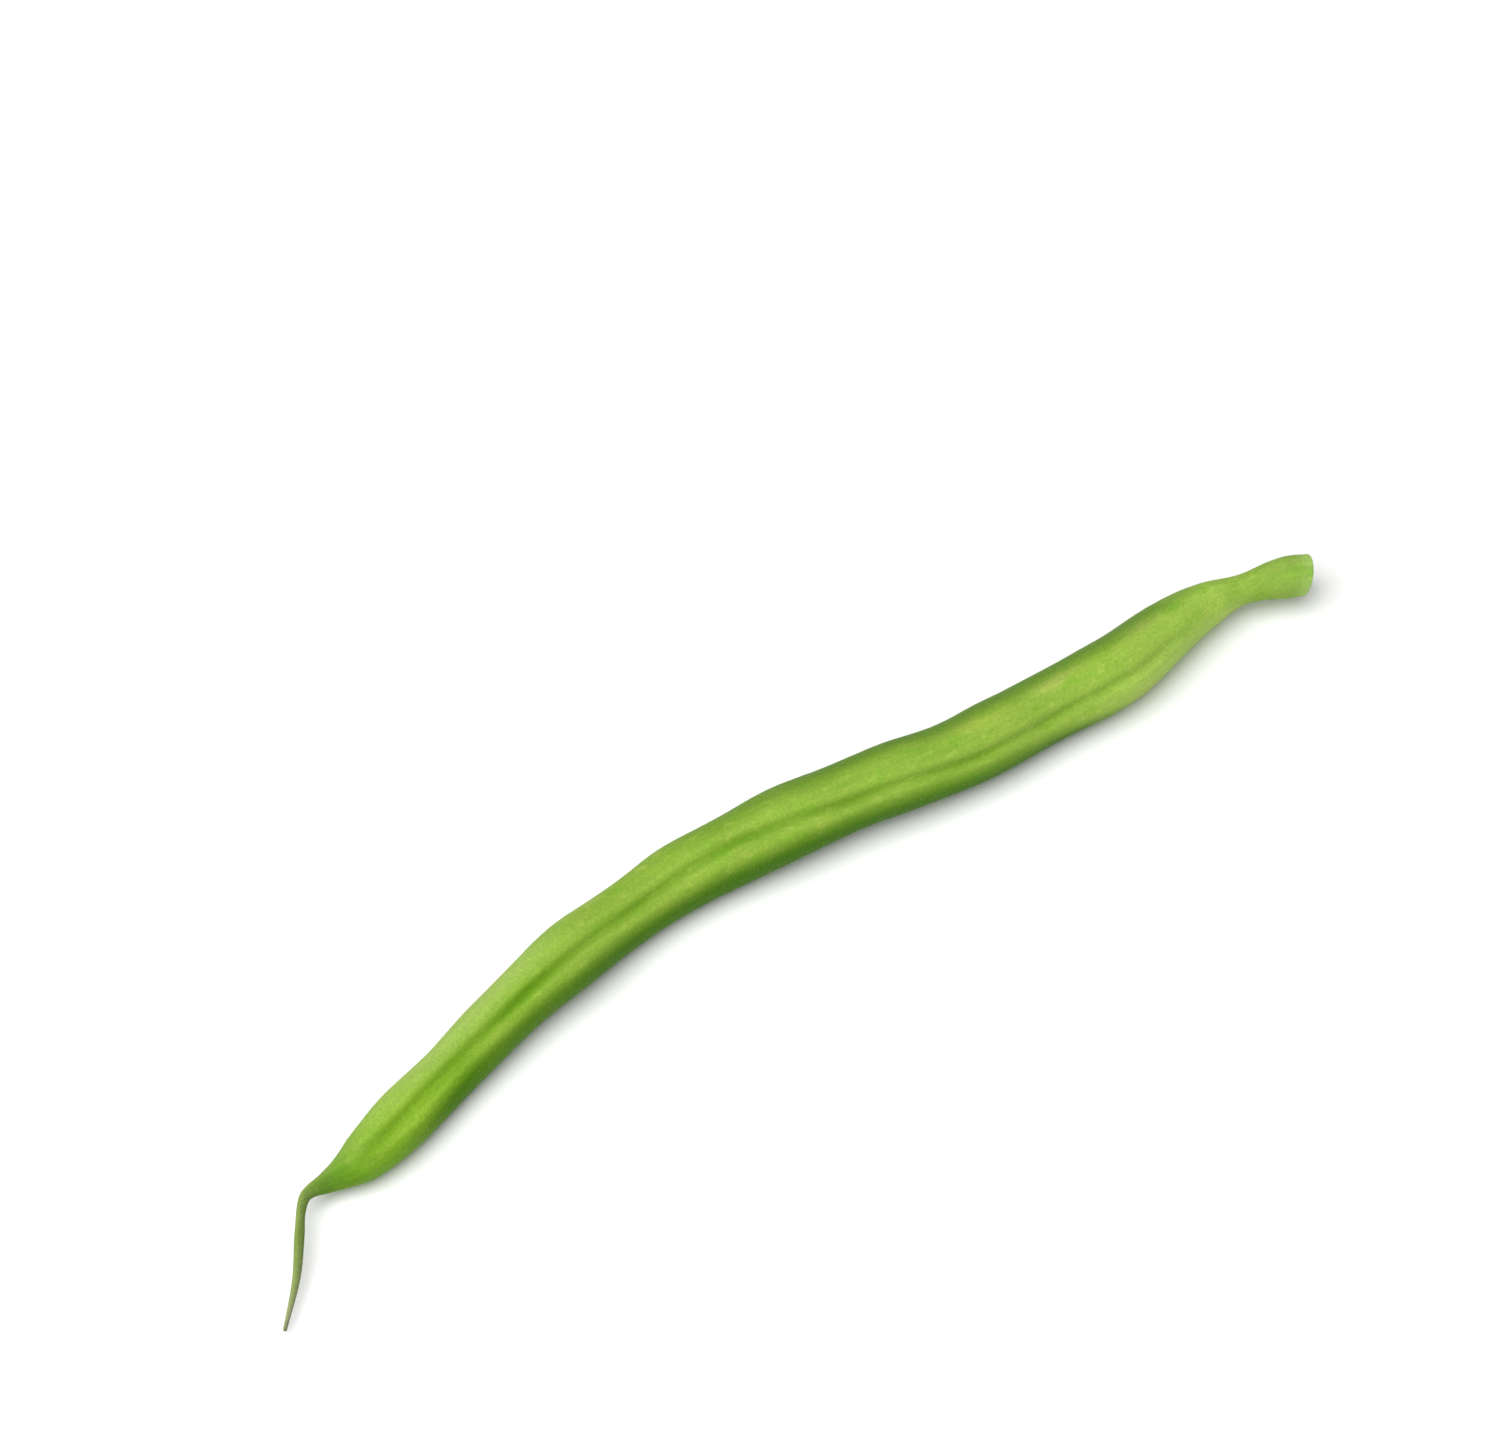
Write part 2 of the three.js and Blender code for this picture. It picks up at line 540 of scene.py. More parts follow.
def seed_swell(tree, size, sine):
    at_seam = size["Swell At Seam"]
    share = plus(tree, at_seam, times(tree, sine, sine, minus(tree, 1.0, at_seam)))
    return times(tree, read(tree, "seed_swell"), size["Seed Swell"], share)


def soft_noise(tree, places, size, amount, seed):
    """A push in or out, up to about half the amount, with lumps of that size."""
    at = scaled(tree, places, sums(tree, "DIVIDE", 1.0, size))
    noise = put(
        tree,
        "ShaderNodeTexNoise",
        {"Vector": at, "W": seed, "Scale": 1.0, "Detail": 2.0, "Roughness": 0.5},
        noise_dimensions="4D",
    )
    return times(tree, minus(tree, noise.outputs["Fac"], 0.5), amount)


def unevenness(tree, size, breadth, straight):
    thickness = sums(tree, "DIVIDE", breadth, size["Smooth Below Breadth"])
    lumps = soft_noise(tree, straight, size["Unevenness Size"], size["Unevenness"], size["Seed"])
    fine = soft_noise(tree, straight, size["Fine Size"], size["Fine Unevenness"], size["Seed"])
    return times(tree, plus(tree, lumps, fine), sums(tree, "MINIMUM", thickness, 1.0))


def edge_inset(tree, size, lead):
    behind = times(tree, minus(tree, 1.0, lead), 0.5)
    worn = times(tree, behind, read(tree, "near_cut"), size["Cut Wear"])
    return times(tree, read(tree, "inset"), plus(tree, worn, 1.0))


print("the grooves show along", SEAM_ENDS[1] - SEAM_STARTS[0], "mm of the pod")


# %% [markdown]
# A point is placed by going out from the middle line, partly level towards the
# seam's side and partly up. Near the cut it also slides along the pod, which
# makes the cut slant. Whatever would fall below the table is lifted to it: so
# the low zones are pressed flat.
# %% Places of the skin
def skin_places(tree, size, centre, turn, lead, out):
    heading = read(tree, "heading", "FLOAT_VECTOR")
    side = vector_sums(tree, "NORMALIZE", vector_sums(tree, "CROSS_PRODUCT", (0, 0, 1), heading))
    up = vector_sums(tree, "CROSS_PRODUCT", heading, side)
    sideways = scaled(tree, side, times(tree, out, sums(tree, "COSINE", turn)))
    upwards = scaled(tree, up, times(tree, out, sums(tree, "SINE", turn)))
    slant = times(tree, read(tree, "near_cut"), size["Cut Slant"], -1.0)
    endways = scaled(tree, heading, times(tree, out, lead, slant))
    place = vector_sums(tree, "ADD", centre, sideways)
    place = vector_sums(tree, "ADD", place, vector_sums(tree, "ADD", upwards, endways))
    apart = put(tree, "ShaderNodeSeparateXYZ", {0: place}).outputs
    height = sums(tree, "MAXIMUM", apart["Z"], 0.0)
    lifted = {"X": apart["X"], "Y": apart["Y"], "Z": height}
    return put(tree, "ShaderNodeCombineXYZ", lifted).outputs["Vector"]


print("the cut leads by about", round(CUT_SLANT * HALF_BREADTH[0][1], 2), "mm at its edge")


# %% [markdown]
# The whole tree puts these together. It also stores straightened coordinates,
# as if the pod were pulled straight, for patterns that have to follow it round
# its bends, and how far each point faces the light, from 1 at the side facing it
# to -1 opposite, which places the painted light and shade of the skin. The skin
# and the cut face each get their material.
# %% Node tree that sweeps the skin
FULL_SHARE = 0.999


def with_material(tree, geometry, material, where=True):
    given = {"Geometry": geometry, "Selection": where, "Material": material}
    return put(tree, "GeometryNodeSetMaterial", given).outputs["Geometry"]


def pod_tree():
    tree = bpy.data.node_groups.new("pod skin sweep", "GeometryNodeTree")
    add_inputs(tree, POD_SIZES)
    tree.interface.new_socket("Geometry", in_out="OUTPUT", socket_type="NodeSocketGeometry")
    size = put(tree, "NodeGroupInput").outputs
    tube, centre, angle = tube_round_guide(tree, size)

    breadth = read(tree, "half_breadth")
    from_seam = times(tree, sums(tree, "ABSOLUTE", angle), breadth)
    from_back = minus(tree, times(tree, breadth, math.pi), from_seam)
    sine = sums(tree, "SINE", angle)
    across = times(tree, breadth, sums(tree, "COSINE", angle))
    pulled_straight = {"X": read(tree, "along"), "Y": across, "Z": times(tree, breadth, sine)}
    straight = put(tree, "ShaderNodeCombineXYZ", pulled_straight).outputs["Vector"]
    turn = plus(tree, angle, read(tree, "seam_faces"))
    lead = sums(tree, "COSINE", minus(tree, turn, size["Cut Leads"]))

    raised = plus(tree, seed_swell(tree, size, sine), unevenness(tree, size, breadth, straight))
    out = plus(tree, raised, minus(tree, breadth, grooves(tree, size, from_seam, from_back)))
    out = times(tree, minus(tree, out, edge_inset(tree, size, lead)), read(tree, "share"))
    place = skin_places(tree, size, centre, turn, lead, out)
    moved = put(tree, "GeometryNodeSetPosition", {"Geometry": tube, "Position": place})

    kept = keep(tree, moved.outputs["Geometry"], "straight", straight, "FLOAT_VECTOR")
    kept = keep(tree, kept, "from_seam", from_seam)
    lit_side = sums(tree, "COSINE", minus(tree, turn, size["Lit Side"]))
    kept = keep(tree, kept, "lit_side", lit_side)
    smooth = put(tree, "GeometryNodeSetShadeSmooth", {"Geometry": kept}).outputs["Geometry"]
    real = put(tree, "GeometryNodeRealizeInstances", {"Geometry": smooth}).outputs["Geometry"]
    dressed = with_material(tree, real, size["Skin"])
    on_face = sums(tree, "LESS_THAN", read(tree, "share"), FULL_SHARE)
    dressed = with_material(tree, dressed, size["Flesh"], on_face)
    put(tree, "NodeGroupOutput", {"Geometry": dressed})
    return tree


pod_sweep = pod_tree()
print("nodes in the sweep:", len(pod_sweep.nodes))


# %% [markdown]
# Colours were judged against the photo, in the 0 to 255 scale that
# picture editors show. Blender works in linear light, so each is converted. The
# other helpers lay colours along a ramp, mix them, ease from one value to
# another, and make soft blotches on the straightened coordinates.
# %% Colour helpers
def colour(red, green, blue):
    def linear(level):
        level /= 255
        return level / 12.92 if level <= 0.04045 else ((level + 0.055) / 1.055) ** 2.4

    return (linear(red), linear(green), linear(blue), 1.0)


def ramp(tree, value, stops):
    """A colour ramp: stops are rows of place from 0 to 1, and colour."""
    made = put(tree, "ShaderNodeValToRGB", {"Fac": value})
    points = made.color_ramp.elements
    while len(points) < len(stops):
        points.new(1.0)
    for point, (place, rgb) in zip(points, stops):
        point.position = place
        point.color = colour(*rgb)
    return made.outputs["Color"]


def mixed(tree, share, first, second):
    # the colour sockets of a Mix node are its seventh and eighth
    made = put(tree, "ShaderNodeMix", {0: share, 6: first, 7: second}, data_type="RGBA")
    return made.outputs[2]


def eased(tree, value, between, give):
    """A smooth change from the first to the second value given, between two places."""
    names = ("Value", "From Min", "From Max", "To Min", "To Max")
    given = dict(zip(names, (value, *between, *give)))
    made = put(tree, "ShaderNodeMapRange", given, interpolation_type="SMOOTHSTEP")
    return made.outputs["Result"]


def blotches(tree, places, size_along, size_across, low, high):
    """0 to 1 in soft patches of that size in mm, where the noise goes from low to high."""
    stretch = (1 / (size_along * MM), 1 / (size_across * MM), 1 / (size_across * MM))
    at = vector_sums(tree, "MULTIPLY", places, stretch)
    given = {"Vector": at, "Scale": 1.0, "Detail": 3.0, "Roughness": 0.55}
    noise = put(tree, "ShaderNodeTexNoise", given).outputs["Fac"]
    return eased(tree, noise, (low, high), (0.0, 1.0))


def attribute(tree, name, output="Fac"):
    return put(tree, "ShaderNodeAttribute", attribute_name=name).outputs[output]


print("a middle green, linear:", [round(c, 3) for c in colour(149, 189, 71)])


# %% [markdown]
# Seen close, a bean's skin has a fine grain: tiny cells, faint fibres that run
# from end to end, and a pale dot where each hair is rooted. Both the skin and
# the cut face show some of it, so it is a shader group, built once. It takes
# straightened coordinates, so that the fibres follow the pod, and gives a
# brightness and a height for the bump.
# %% Shader group for the fine grain
GRAIN_SIZES = [
    ("Vector", "NodeSocketVector", None),
    ("Cell Size", "NodeSocketFloat", 0.3 * MM),
    ("Cell Strength", "NodeSocketFloat", 0.64),
    ("Fibre Width", "NodeSocketFloat", 0.5 * MM),
    ("Fibre Length", "NodeSocketFloat", 6 * MM),
    ("Fibre Strength", "NodeSocketFloat", 0.36),
    ("Dot Spacing", "NodeSocketFloat", 0.36 * MM),
    ("Dot Width", "NodeSocketFloat", 0.24),
    ("Dot Strength", "NodeSocketFloat", 0.12),
    ("Relief", "NodeSocketFloat", 0.05 * MM),
]
# what the dots add on average, taken off again so that they don't lighten the whole
DOTS_ON_AVERAGE = 0.2
# the range of the grain's brightness that shows
GRAIN_RANGE = (0.35, 0.65)
CELL_DETAIL = 2.0
FIBRE_DETAIL = 3.0


def fine_noise(tree, at, detail):
    given = {"Vector": at, "Scale": 1.0, "Detail": detail}
    return put(tree, "ShaderNodeTexNoise", given).outputs["Fac"]


def grain_group():
    tree = bpy.data.node_groups.new("fine grain", "ShaderNodeTree")
    add_inputs(tree, GRAIN_SIZES)
    for name in ("Brightness", "Height"):
        tree.interface.new_socket(name, in_out="OUTPUT", socket_type="NodeSocketFloat")
    given = put(tree, "NodeGroupInput").outputs

    def per(name):
        return sums(tree, "DIVIDE", 1.0, given[name])

    cells = fine_noise(tree, scaled(tree, given["Vector"], per("Cell Size")), CELL_DETAIL)
    across = per("Fibre Width")
    stretch = put(
        tree, "ShaderNodeCombineXYZ", {"X": per("Fibre Length"), "Y": across, "Z": across}
    ).outputs["Vector"]
    fibres_at = vector_sums(tree, "MULTIPLY", given["Vector"], stretch)
    fibres = fine_noise(tree, fibres_at, FIBRE_DETAIL)
    dots_at = scaled(tree, given["Vector"], per("Dot Spacing"))
    from_dot = put(tree, "ShaderNodeTexVoronoi", {"Vector": dots_at, "Scale": 1.0})
    dots = bell(tree, from_dot.outputs["Distance"], given["Dot Width"])
    brightness = plus(
        tree,
        times(tree, cells, given["Cell Strength"]),
        times(tree, fibres, given["Fibre Strength"]),
        times(tree, minus(tree, dots, DOTS_ON_AVERAGE), given["Dot Strength"]),
    )
    height = times(tree, brightness, given["Relief"])
    put(tree, "NodeGroupOutput", {"Brightness": brightness, "Height": height})
    return tree


grain = grain_group()
outputs = [item.name for item in grain.interface.items_tree if item.in_out == "OUTPUT"]
print("outputs of the grain group:", outputs)


# %% [markdown]
# The skin's green isn't even. Along the pod it goes from a pale neck through a
# fresh green to a dull kink, and the tail has dried to a greyish straw. Over
# that lie loose patches of deeper and of yellower green, large and small. The
# skin is painted as layers: each is a mask and a colour, laid over the last
# one, and this cell gives the first of them. Places along the pod are now
# shares of its length.
# %% Colours along the pod and in patches
SKIN_ALONG = [
    (0.000, (158, 192, 98)),
    (0.006, (156, 190, 94)),
    (0.013, (137, 167, 72)),
    (0.040, (132, 164, 62)),
    # this lighter stop on the shoulder is partly painted light
    (0.080, (155, 188, 77)),
    (0.180, (145, 177, 68)),
    (0.280, (132, 166, 60)),
    (0.480, (130, 163, 56)),
    (0.640, (132, 165, 57)),
    (0.715, (126, 163, 48)),
    (0.766, (113, 155, 36)),
    (0.817, (130, 170, 41)),
    (0.850, (118, 158, 38)),
    (0.875, (92, 136, 28)),
    (0.893, (86, 122, 36)),
    (0.906, (103, 126, 58)),
    (0.925, (104, 124, 64)),
    (0.940, (100, 122, 58)),
    (0.975, (126, 137, 86)),
    (0.990, (138, 138, 106)),
    (1.000, (112, 104, 86)),
]

# size along and across in mm, noise where the patch starts and is full, strength, where, colour
SKIN_PATCHES = [
    (9.0, 3.2, 0.48, 0.72, 0.42, "anywhere", (100, 158, 38)),
    (14.0, 4.0, 0.52, 0.75, 0.38, "anywhere", (178, 192, 82)),
    (2.8, 1.5, 0.50, 0.74, 0.42, "anywhere", (104, 166, 30)),
    (1.9, 1.2, 0.55, 0.78, 0.34, "anywhere", (190, 206, 98)),
    (11.0, 3.6, 0.53, 0.76, 0.50, "facing light", (178, 188, 98)),
]
# a fade is two places, and the values at them; patches fade where the tail has dried
FLESHY = ((0.86, 0.9), (1.0, 0.2))
FACING_LIGHT = ((0.1, 0.7), (0.0, 1.0))


def skin_facts(tree):
    """What the sweep stored on the skin, under short names."""
    facts = {name: attribute(tree, name) for name in ("from_seam", "seam_shows", "seed_swell")}
    facts["lit_side"] = attribute(tree, "lit_side")
    facts["straight"] = attribute(tree, "straight", "Vector")
    facts["along"] = sums(tree, "DIVIDE", attribute(tree, "along"), LENGTH * MM)
    return facts


def patch_layers(tree, at):
    fleshy = eased(tree, at["along"], *FLESHY)
    facing_light = eased(tree, at["lit_side"], *FACING_LIGHT)
    layers = []
    for size_along, size_across, low, high, strength, where, rgb in SKIN_PATCHES:
        patch = blotches(tree, at["straight"], size_along, size_across, low, high)
        patch = times(tree, patch, times(tree, fleshy, strength))
        if where == "facing light":
            patch = times(tree, patch, facing_light)
        layers.append((patch, rgb))
    return layers


print("colours along the pod:", len(SKIN_ALONG), "and kinds of patch:", len(SKIN_PATCHES))


# %% [markdown]
# Some colours go with the relief. Where the skin is stretched over a seed it is
# yellower, and brighter still as a painted highlight where the swell catches
# light. A painted highlight follows the crest on both sides of the seam, and the
# bottom of the crease is a deep green, partly painted shade, that differs in
# strength along the pod.
# %% Colours of the relief
# over each seed the skin is yellower, and partly a painted highlight where the swell catches
# light
SEED_TONE_AND_HIGHLIGHT = 0.16
SEED_TONE_AND_HIGHLIGHT_COLOUR = (150, 180, 66)
CREST_FROM_SEAM = 1.15
CREST_WIDTH = 0.5
# painted highlight: a pale line along the crest on both sides of the seam
CREST_HIGHLIGHT = 0.12
CREST_HIGHLIGHT_COLOUR = (170, 200, 84)
CREASE_WIDENS = ((0.2, 0.6), (0.5 * MM, 0.78 * MM))
# the crease is a deeper green, partly painted shade in the groove
CREASE_GREEN_AND_SHADE_COLOUR = (86, 130, 12)


def raised_layers(tree, at):
    over_seed = times(tree, at["seed_swell"], at["seam_shows"], SEED_TONE_AND_HIGHLIGHT)
    from_crest = minus(tree, at["from_seam"], CREST_FROM_SEAM * MM)
    crest = times(tree, bell(tree, from_crest, CREST_WIDTH * MM), at["seam_shows"], CREST_HIGHLIGHT)
    return [(over_seed, SEED_TONE_AND_HIGHLIGHT_COLOUR), (crest, CREST_HIGHLIGHT_COLOUR)]


def crease_layers(tree, at):
    width = eased(tree, at["along"], *CREASE_WIDENS)
    crease = times(tree, bell(tree, at["from_seam"], width), at["seam_shows"])
    return [(times(tree, crease, attribute(tree, "crease_green_and_shade")), CREASE_GREEN_AND_SHADE_COLOUR)]


print("the crest lies", CREST_FROM_SEAM, "mm from the seam")


# %% [markdown]
# Other colours go with the side of the pod, and all of them are painted light
# and shade. On the side facing the light, the edge behind the shoulder gets a
# painted shade, and the edge in the half with the beak a paler painted sheen.
# The side turned away from the light gets a painted shade, a deeper green from
# the line that the rows for the colours give, except on the shoulder, which is
# painted light all round.
# %% Painted light and shade of the two sides
# painted shade along the edge of the side facing the light, from past the shoulder to the middle
PAST_SHOULDER = ((0.05, 0.15), (0.0, 0.85))
STEM_HALF = ((0.4, 0.62), (1.0, 0.0))
PAINTED_EDGE_SHADE = ((0.5, 1.0), (0.0, 1.0))
PAINTED_EDGE_SHADE_COLOUR = (84, 122, 34)
# painted sheen: a paler edge on the side facing the light, in the half with the beak
BEAK_HALF = ((0.62, 0.7), (0.0, 0.75))
BEFORE_BEAK = ((0.76, 0.86), (1.0, 0.4))
PAINTED_SHEEN_EDGE = ((0.45, 0.95), (0.0, 1.0))
PAINTED_SHEEN_COLOUR = (156, 182, 92)
# painted shade on the side turned away from the light: how far it spreads, and its deeper green
PAINTED_SHADE_FULL_AFTER = 0.62
PAINTED_SHADE_COLOUR = (66, 112, 4)
# painted light on the shoulder, on its side turned away from the light
SHOULDER_LIGHT_BELOW = ((-0.1, -0.7), (0.0, 0.8))
SHOULDER_LIGHT_STARTS = ((0.04, 0.08), (0.0, 1.0))
SHOULDER_LIGHT_ENDS = ((0.15, 0.24), (1.0, 0.0))
PAINTED_SHOULDER_LIGHT_COLOUR = (170, 200, 96)


def side_layers(tree, at):
    along, lit_side = at["along"], at["lit_side"]

    def where(*fades):
        """The product of some smooth fades, each along the pod or round it."""
        return times(tree, *(eased(tree, place, *fade) for place, fade in fades))

    painted_edge_shade = where((along, PAST_SHOULDER), (along, STEM_HALF), (lit_side, PAINTED_EDGE_SHADE))
    painted_sheen = where((along, BEAK_HALF), (along, BEFORE_BEAK), (lit_side, PAINTED_SHEEN_EDGE))
    painted_shoulder_light = where(
        (lit_side, SHOULDER_LIGHT_BELOW), (along, SHOULDER_LIGHT_ENDS), (along, SHOULDER_LIGHT_STARTS)
    )
    starts = attribute(tree, "painted_shade_starts")
    full = sums(tree, "MAXIMUM", minus(tree, starts, PAINTED_SHADE_FULL_AFTER), -1.0)
    shaded = eased(tree, lit_side, (starts, full), (0.0, 1.0))
    shaded = times(tree, shaded, attribute(tree, "painted_shade_strength"))
    return [
        (painted_edge_shade, PAINTED_EDGE_SHADE_COLOUR),
        (painted_sheen, PAINTED_SHEEN_COLOUR),
        (shaded, PAINTED_SHADE_COLOUR),
        (painted_shoulder_light, PAINTED_SHOULDER_LIGHT_COLOUR),
    ]


print("the shaded side is full", PAINTED_SHADE_FULL_AFTER, "past its start")


# %% [markdown]
# The material lays all layers over each other and lets the grain lighten and
# darken the result a little. The same grain drives the roughness and the bump.
# A fresh bean has hardly any shine, only a faint sheen, so the constant values
# of the shader are low.
# %% Skin material
GRAIN_DARKEST = 0.88
GRAIN_LIGHTEST = 1.12
SKIN_ROUGHNESS = (0.48, 0.66)
SKIN_GLOSS = {
    "Specular IOR Level": 0.06,
    "Sheen Weight": 0.03,
    "Sheen Roughness": 0.4,
    "Sheen Tint": (0.7, 0.95, 0.45, 1.0),
}


def fresh_material(name):
    """A new material with an empty node tree."""
    material = bpy.data.materials.new(name)
    material.use_nodes = True
    material.node_tree.nodes.clear()
    return material, material.node_tree


def finish_shader(tree, tint, roughness, height, constants):
    """Principled shader whose colour, roughness and bump come from nodes."""
    bump = put(tree, "ShaderNodeBump", {"Distance": 1.0, "Height": height}).outputs["Normal"]
    given = {"Base Color": tint, "Roughness": roughness, "Normal": bump, **constants}
    shader = put(tree, "ShaderNodeBsdfPrincipled", given)
    put(tree, "ShaderNodeOutputMaterial", {"Surface": shader.outputs[0]})


def skin_material():
    material, tree = fresh_material("bean skin")
    at = skin_facts(tree)
    tint = ramp(tree, at["along"], SKIN_ALONG)
    layers = patch_layers(tree, at) + raised_layers(tree, at)
    layers += side_layers(tree, at) + crease_layers(tree, at)
    for share, rgb in layers:
        tint = mixed(tree, share, tint, colour(*rgb))

    grain_here = put(tree, "ShaderNodeGroup", {"Vector": at["straight"]}, node_tree=grain).outputs
    shade = put(
        tree,
        "ShaderNodeMapRange",
        {
            "Value": grain_here["Brightness"],
            "From Min": GRAIN_RANGE[0],
            "From Max": GRAIN_RANGE[1],
            "To Min": GRAIN_DARKEST,
            "To Max": GRAIN_LIGHTEST,
        },
    ).outputs["Result"]
    rough = eased(tree, grain_here["Brightness"], GRAIN_RANGE, SKIN_ROUGHNESS)
    finish_shader(tree, scaled(tree, tint, shade), rough, grain_here["Height"], SKIN_GLOSS)
    return material


skin = skin_material()
print("nodes in the skin material:", len(skin.node_tree.nodes))


# %% [markdown]
# The cut face shows the flesh: a green rim, a paler watery ring inside it, a
# ring of darker strands where the fibres were cut, and a drier, straw-coloured
# middle. All of it follows from how far a point lies from the middle of the
# face, which the sweep kept as its share of the full breadth.
# %% Cut flesh material
FLESH_OUTWARDS = [
    (0.00, (176, 172, 110)),
    (0.35, (184, 188, 116)),
    (0.55, (150, 168, 80)),
    (0.68, (188, 206, 124)),
    (0.85, (170, 196, 104)),
    (1.00, (120, 156, 60)),
]
# size along and across in mm, and noise where a blotch starts and is full
FLESH_BLOTCHES = (1.0, 0.5, 0.3, 0.7)
RING_WOBBLE = 0.12
FLESH_GRAIN = {"Cell Size": 0.12 * MM, "Fibre Length": 0.5 * MM}
FLESH_ROUGHNESS = (0.45, 0.65)


def flesh_material():
    material, tree = fresh_material("cut bean flesh")
    straight = attribute(tree, "straight", "Vector")
    uneven = blotches(tree, straight, *FLESH_BLOTCHES)
    wobble = times(tree, minus(tree, uneven, 0.5), RING_WOBBLE)
    tint = ramp(tree, plus(tree, attribute(tree, "share"), wobble), FLESH_OUTWARDS)
    grain_here = put(
        tree, "ShaderNodeGroup", {"Vector": straight, **FLESH_GRAIN}, node_tree=grain
    ).outputs
    rough = eased(tree, grain_here["Brightness"], GRAIN_RANGE, FLESH_ROUGHNESS)
    finish_shader(tree, tint, rough, grain_here["Height"], {})
    return material


flesh = flesh_material()
print("nodes in the flesh material:", len(flesh.node_tree.nodes))


# %% [markdown]
# Now the sweep runs. A modifier's inputs are set by their identifiers, and the
# evaluated result is copied to a plain mesh, so nothing live is left on the
# piece. Its place is in its mesh, with the middle of its box over the origin
# as in the solid.
# %% Make the pod
def run_tree(maker, tree, sizes, materials):
    """The plain mesh that a node tree makes from an object, which is then removed."""
    modifier = maker.modifiers.new(tree.name, "NODES")
    modifier.node_group = tree
    values = {name: value for name, _, value in sizes if value is not None} | materials
    for item in tree.interface.items_tree:
        if item.in_out == "INPUT" and item.name in values:
            modifier[item.identifier] = values[item.name]
    bpy.context.view_layer.update()
    evaluated = maker.evaluated_get(bpy.context.evaluated_depsgraph_get())
    mesh = bpy.data.meshes.new_from_object(evaluated)
    bpy.data.objects.remove(maker)
    return mesh


def new_object(name, mesh):
    mesh.name = name
    made = bpy.data.objects.new(name, mesh)
    bpy.context.scene.collection.objects.link(made)
    return made


def triangles(mesh):
    mesh.calc_loop_triangles()
    return len(mesh.loop_triangles)


pod_mesh = run_tree(guide, pod_sweep, POD_SIZES, {"Skin": skin, "Flesh": flesh})
corners = [v.co for v in pod_mesh.vertices]
middle_x = (min(c.x for c in corners) + max(c.x for c in corners)) / 2
middle_y = (min(c.y for c in corners) + max(c.y for c in corners)) / 2
pod_mesh.transform(Matrix.Translation((-middle_x, -middle_y, 0)))
pod = new_object("green_bean", pod_mesh)
print("triangles of the pod:", triangles(pod_mesh))
print("moved by", round(-middle_x / MM, 3), round(-middle_y / MM, 3), "mm")

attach(pod, "root")
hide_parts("pod")


# %% [markdown]
# A fresh bean feels like velvet, because short hairs stand all over its skin and
# lean towards the beak. A hair system would do, but its strands don't live in a
# plain mesh. Geometry Nodes scatter points over the finished skin instead and
# set a thin three-sided cone on each. The cut face, the thin tail and the places
# that touch the table stay bare.
# %% Sizes of the down
HAIRS_PER_SQUARE_MM = 3.4
DOWN_SIZES = [
    ("Geometry", "NodeSocketGeometry", None),
    ("Hairs Per Square Metre", "NodeSocketFloat", HAIRS_PER_SQUARE_MM / MM**2),
    ("Hair Length", "NodeSocketFloat", 0.2 * MM),
    ("Hair Radius", "NodeSocketFloat", 0.009 * MM),
    ("Lean To Beak", "NodeSocketFloat", 0.7),
    ("Stray", "NodeSocketFloat", 0.5),
    ("Clear Of Table", "NodeSocketFloat", 0.5 * MM),
    ("Box Low", "NodeSocketVector", tuple(part_box[0])),
    ("Box High", "NodeSocketVector", tuple(part_box[1])),
    ("Bare Below Breadth", "NodeSocketFloat", 1.2 * MM),
    ("Seed", "NodeSocketInt", 7),
    ("Down", "NodeSocketMaterial", None),
]
HAIR_SCALE = (0.5, 1.3)
HAIR_SIDES = 3
print("hairs per square millimetre:", HAIRS_PER_SQUARE_MM)


# %% [markdown]
# The tree has three steps. It picks where hairs may grow, it gives each root a
# direction between the normal of the skin and the way to the beak with a
# little chance, and it sets the cones. Hairs that would stand past the box of
# the part are pressed back to it, so the looks keep the size of the solid.
# %% Node tree for the down
def hair_roots(tree, size):
    here = put(tree, "GeometryNodeInputPosition").outputs["Position"]
    height = put(tree, "ShaderNodeSeparateXYZ", {0: here}).outputs["Z"]
    grows = times(
        tree,
        sums(tree, "GREATER_THAN", height, size["Clear Of Table"]),
        sums(tree, "GREATER_THAN", read(tree, "share"), FULL_SHARE),
        sums(tree, "GREATER_THAN", read(tree, "half_breadth"), size["Bare Below Breadth"]),
    )
    given = {
        "Mesh": size["Geometry"],
        "Selection": grows,
        "Density": size["Hairs Per Square Metre"],
        "Seed": size["Seed"],
    }
    return put(tree, "GeometryNodeDistributePointsOnFaces", given).outputs


def hair_directions(tree, size, normal):
    to_beak = scaled(tree, read(tree, "heading", "FLOAT_VECTOR"), size["Lean To Beak"])
    # sockets 0 and 1 are the least and the most of a random vector, 2 and 3 those of a number
    any_way = put(
        tree,
        "FunctionNodeRandomValue",
        {0: (-1, -1, -1), 1: (1, 1, 1), "Seed": size["Seed"]},
        data_type="FLOAT_VECTOR",
    ).outputs[0]
    points = vector_sums(tree, "ADD", normal, to_beak)
    points = vector_sums(tree, "ADD", points, scaled(tree, any_way, size["Stray"]))
    return put(tree, "FunctionNodeAlignRotationToVector", {"Vector": points}, axis="Z").outputs[0]


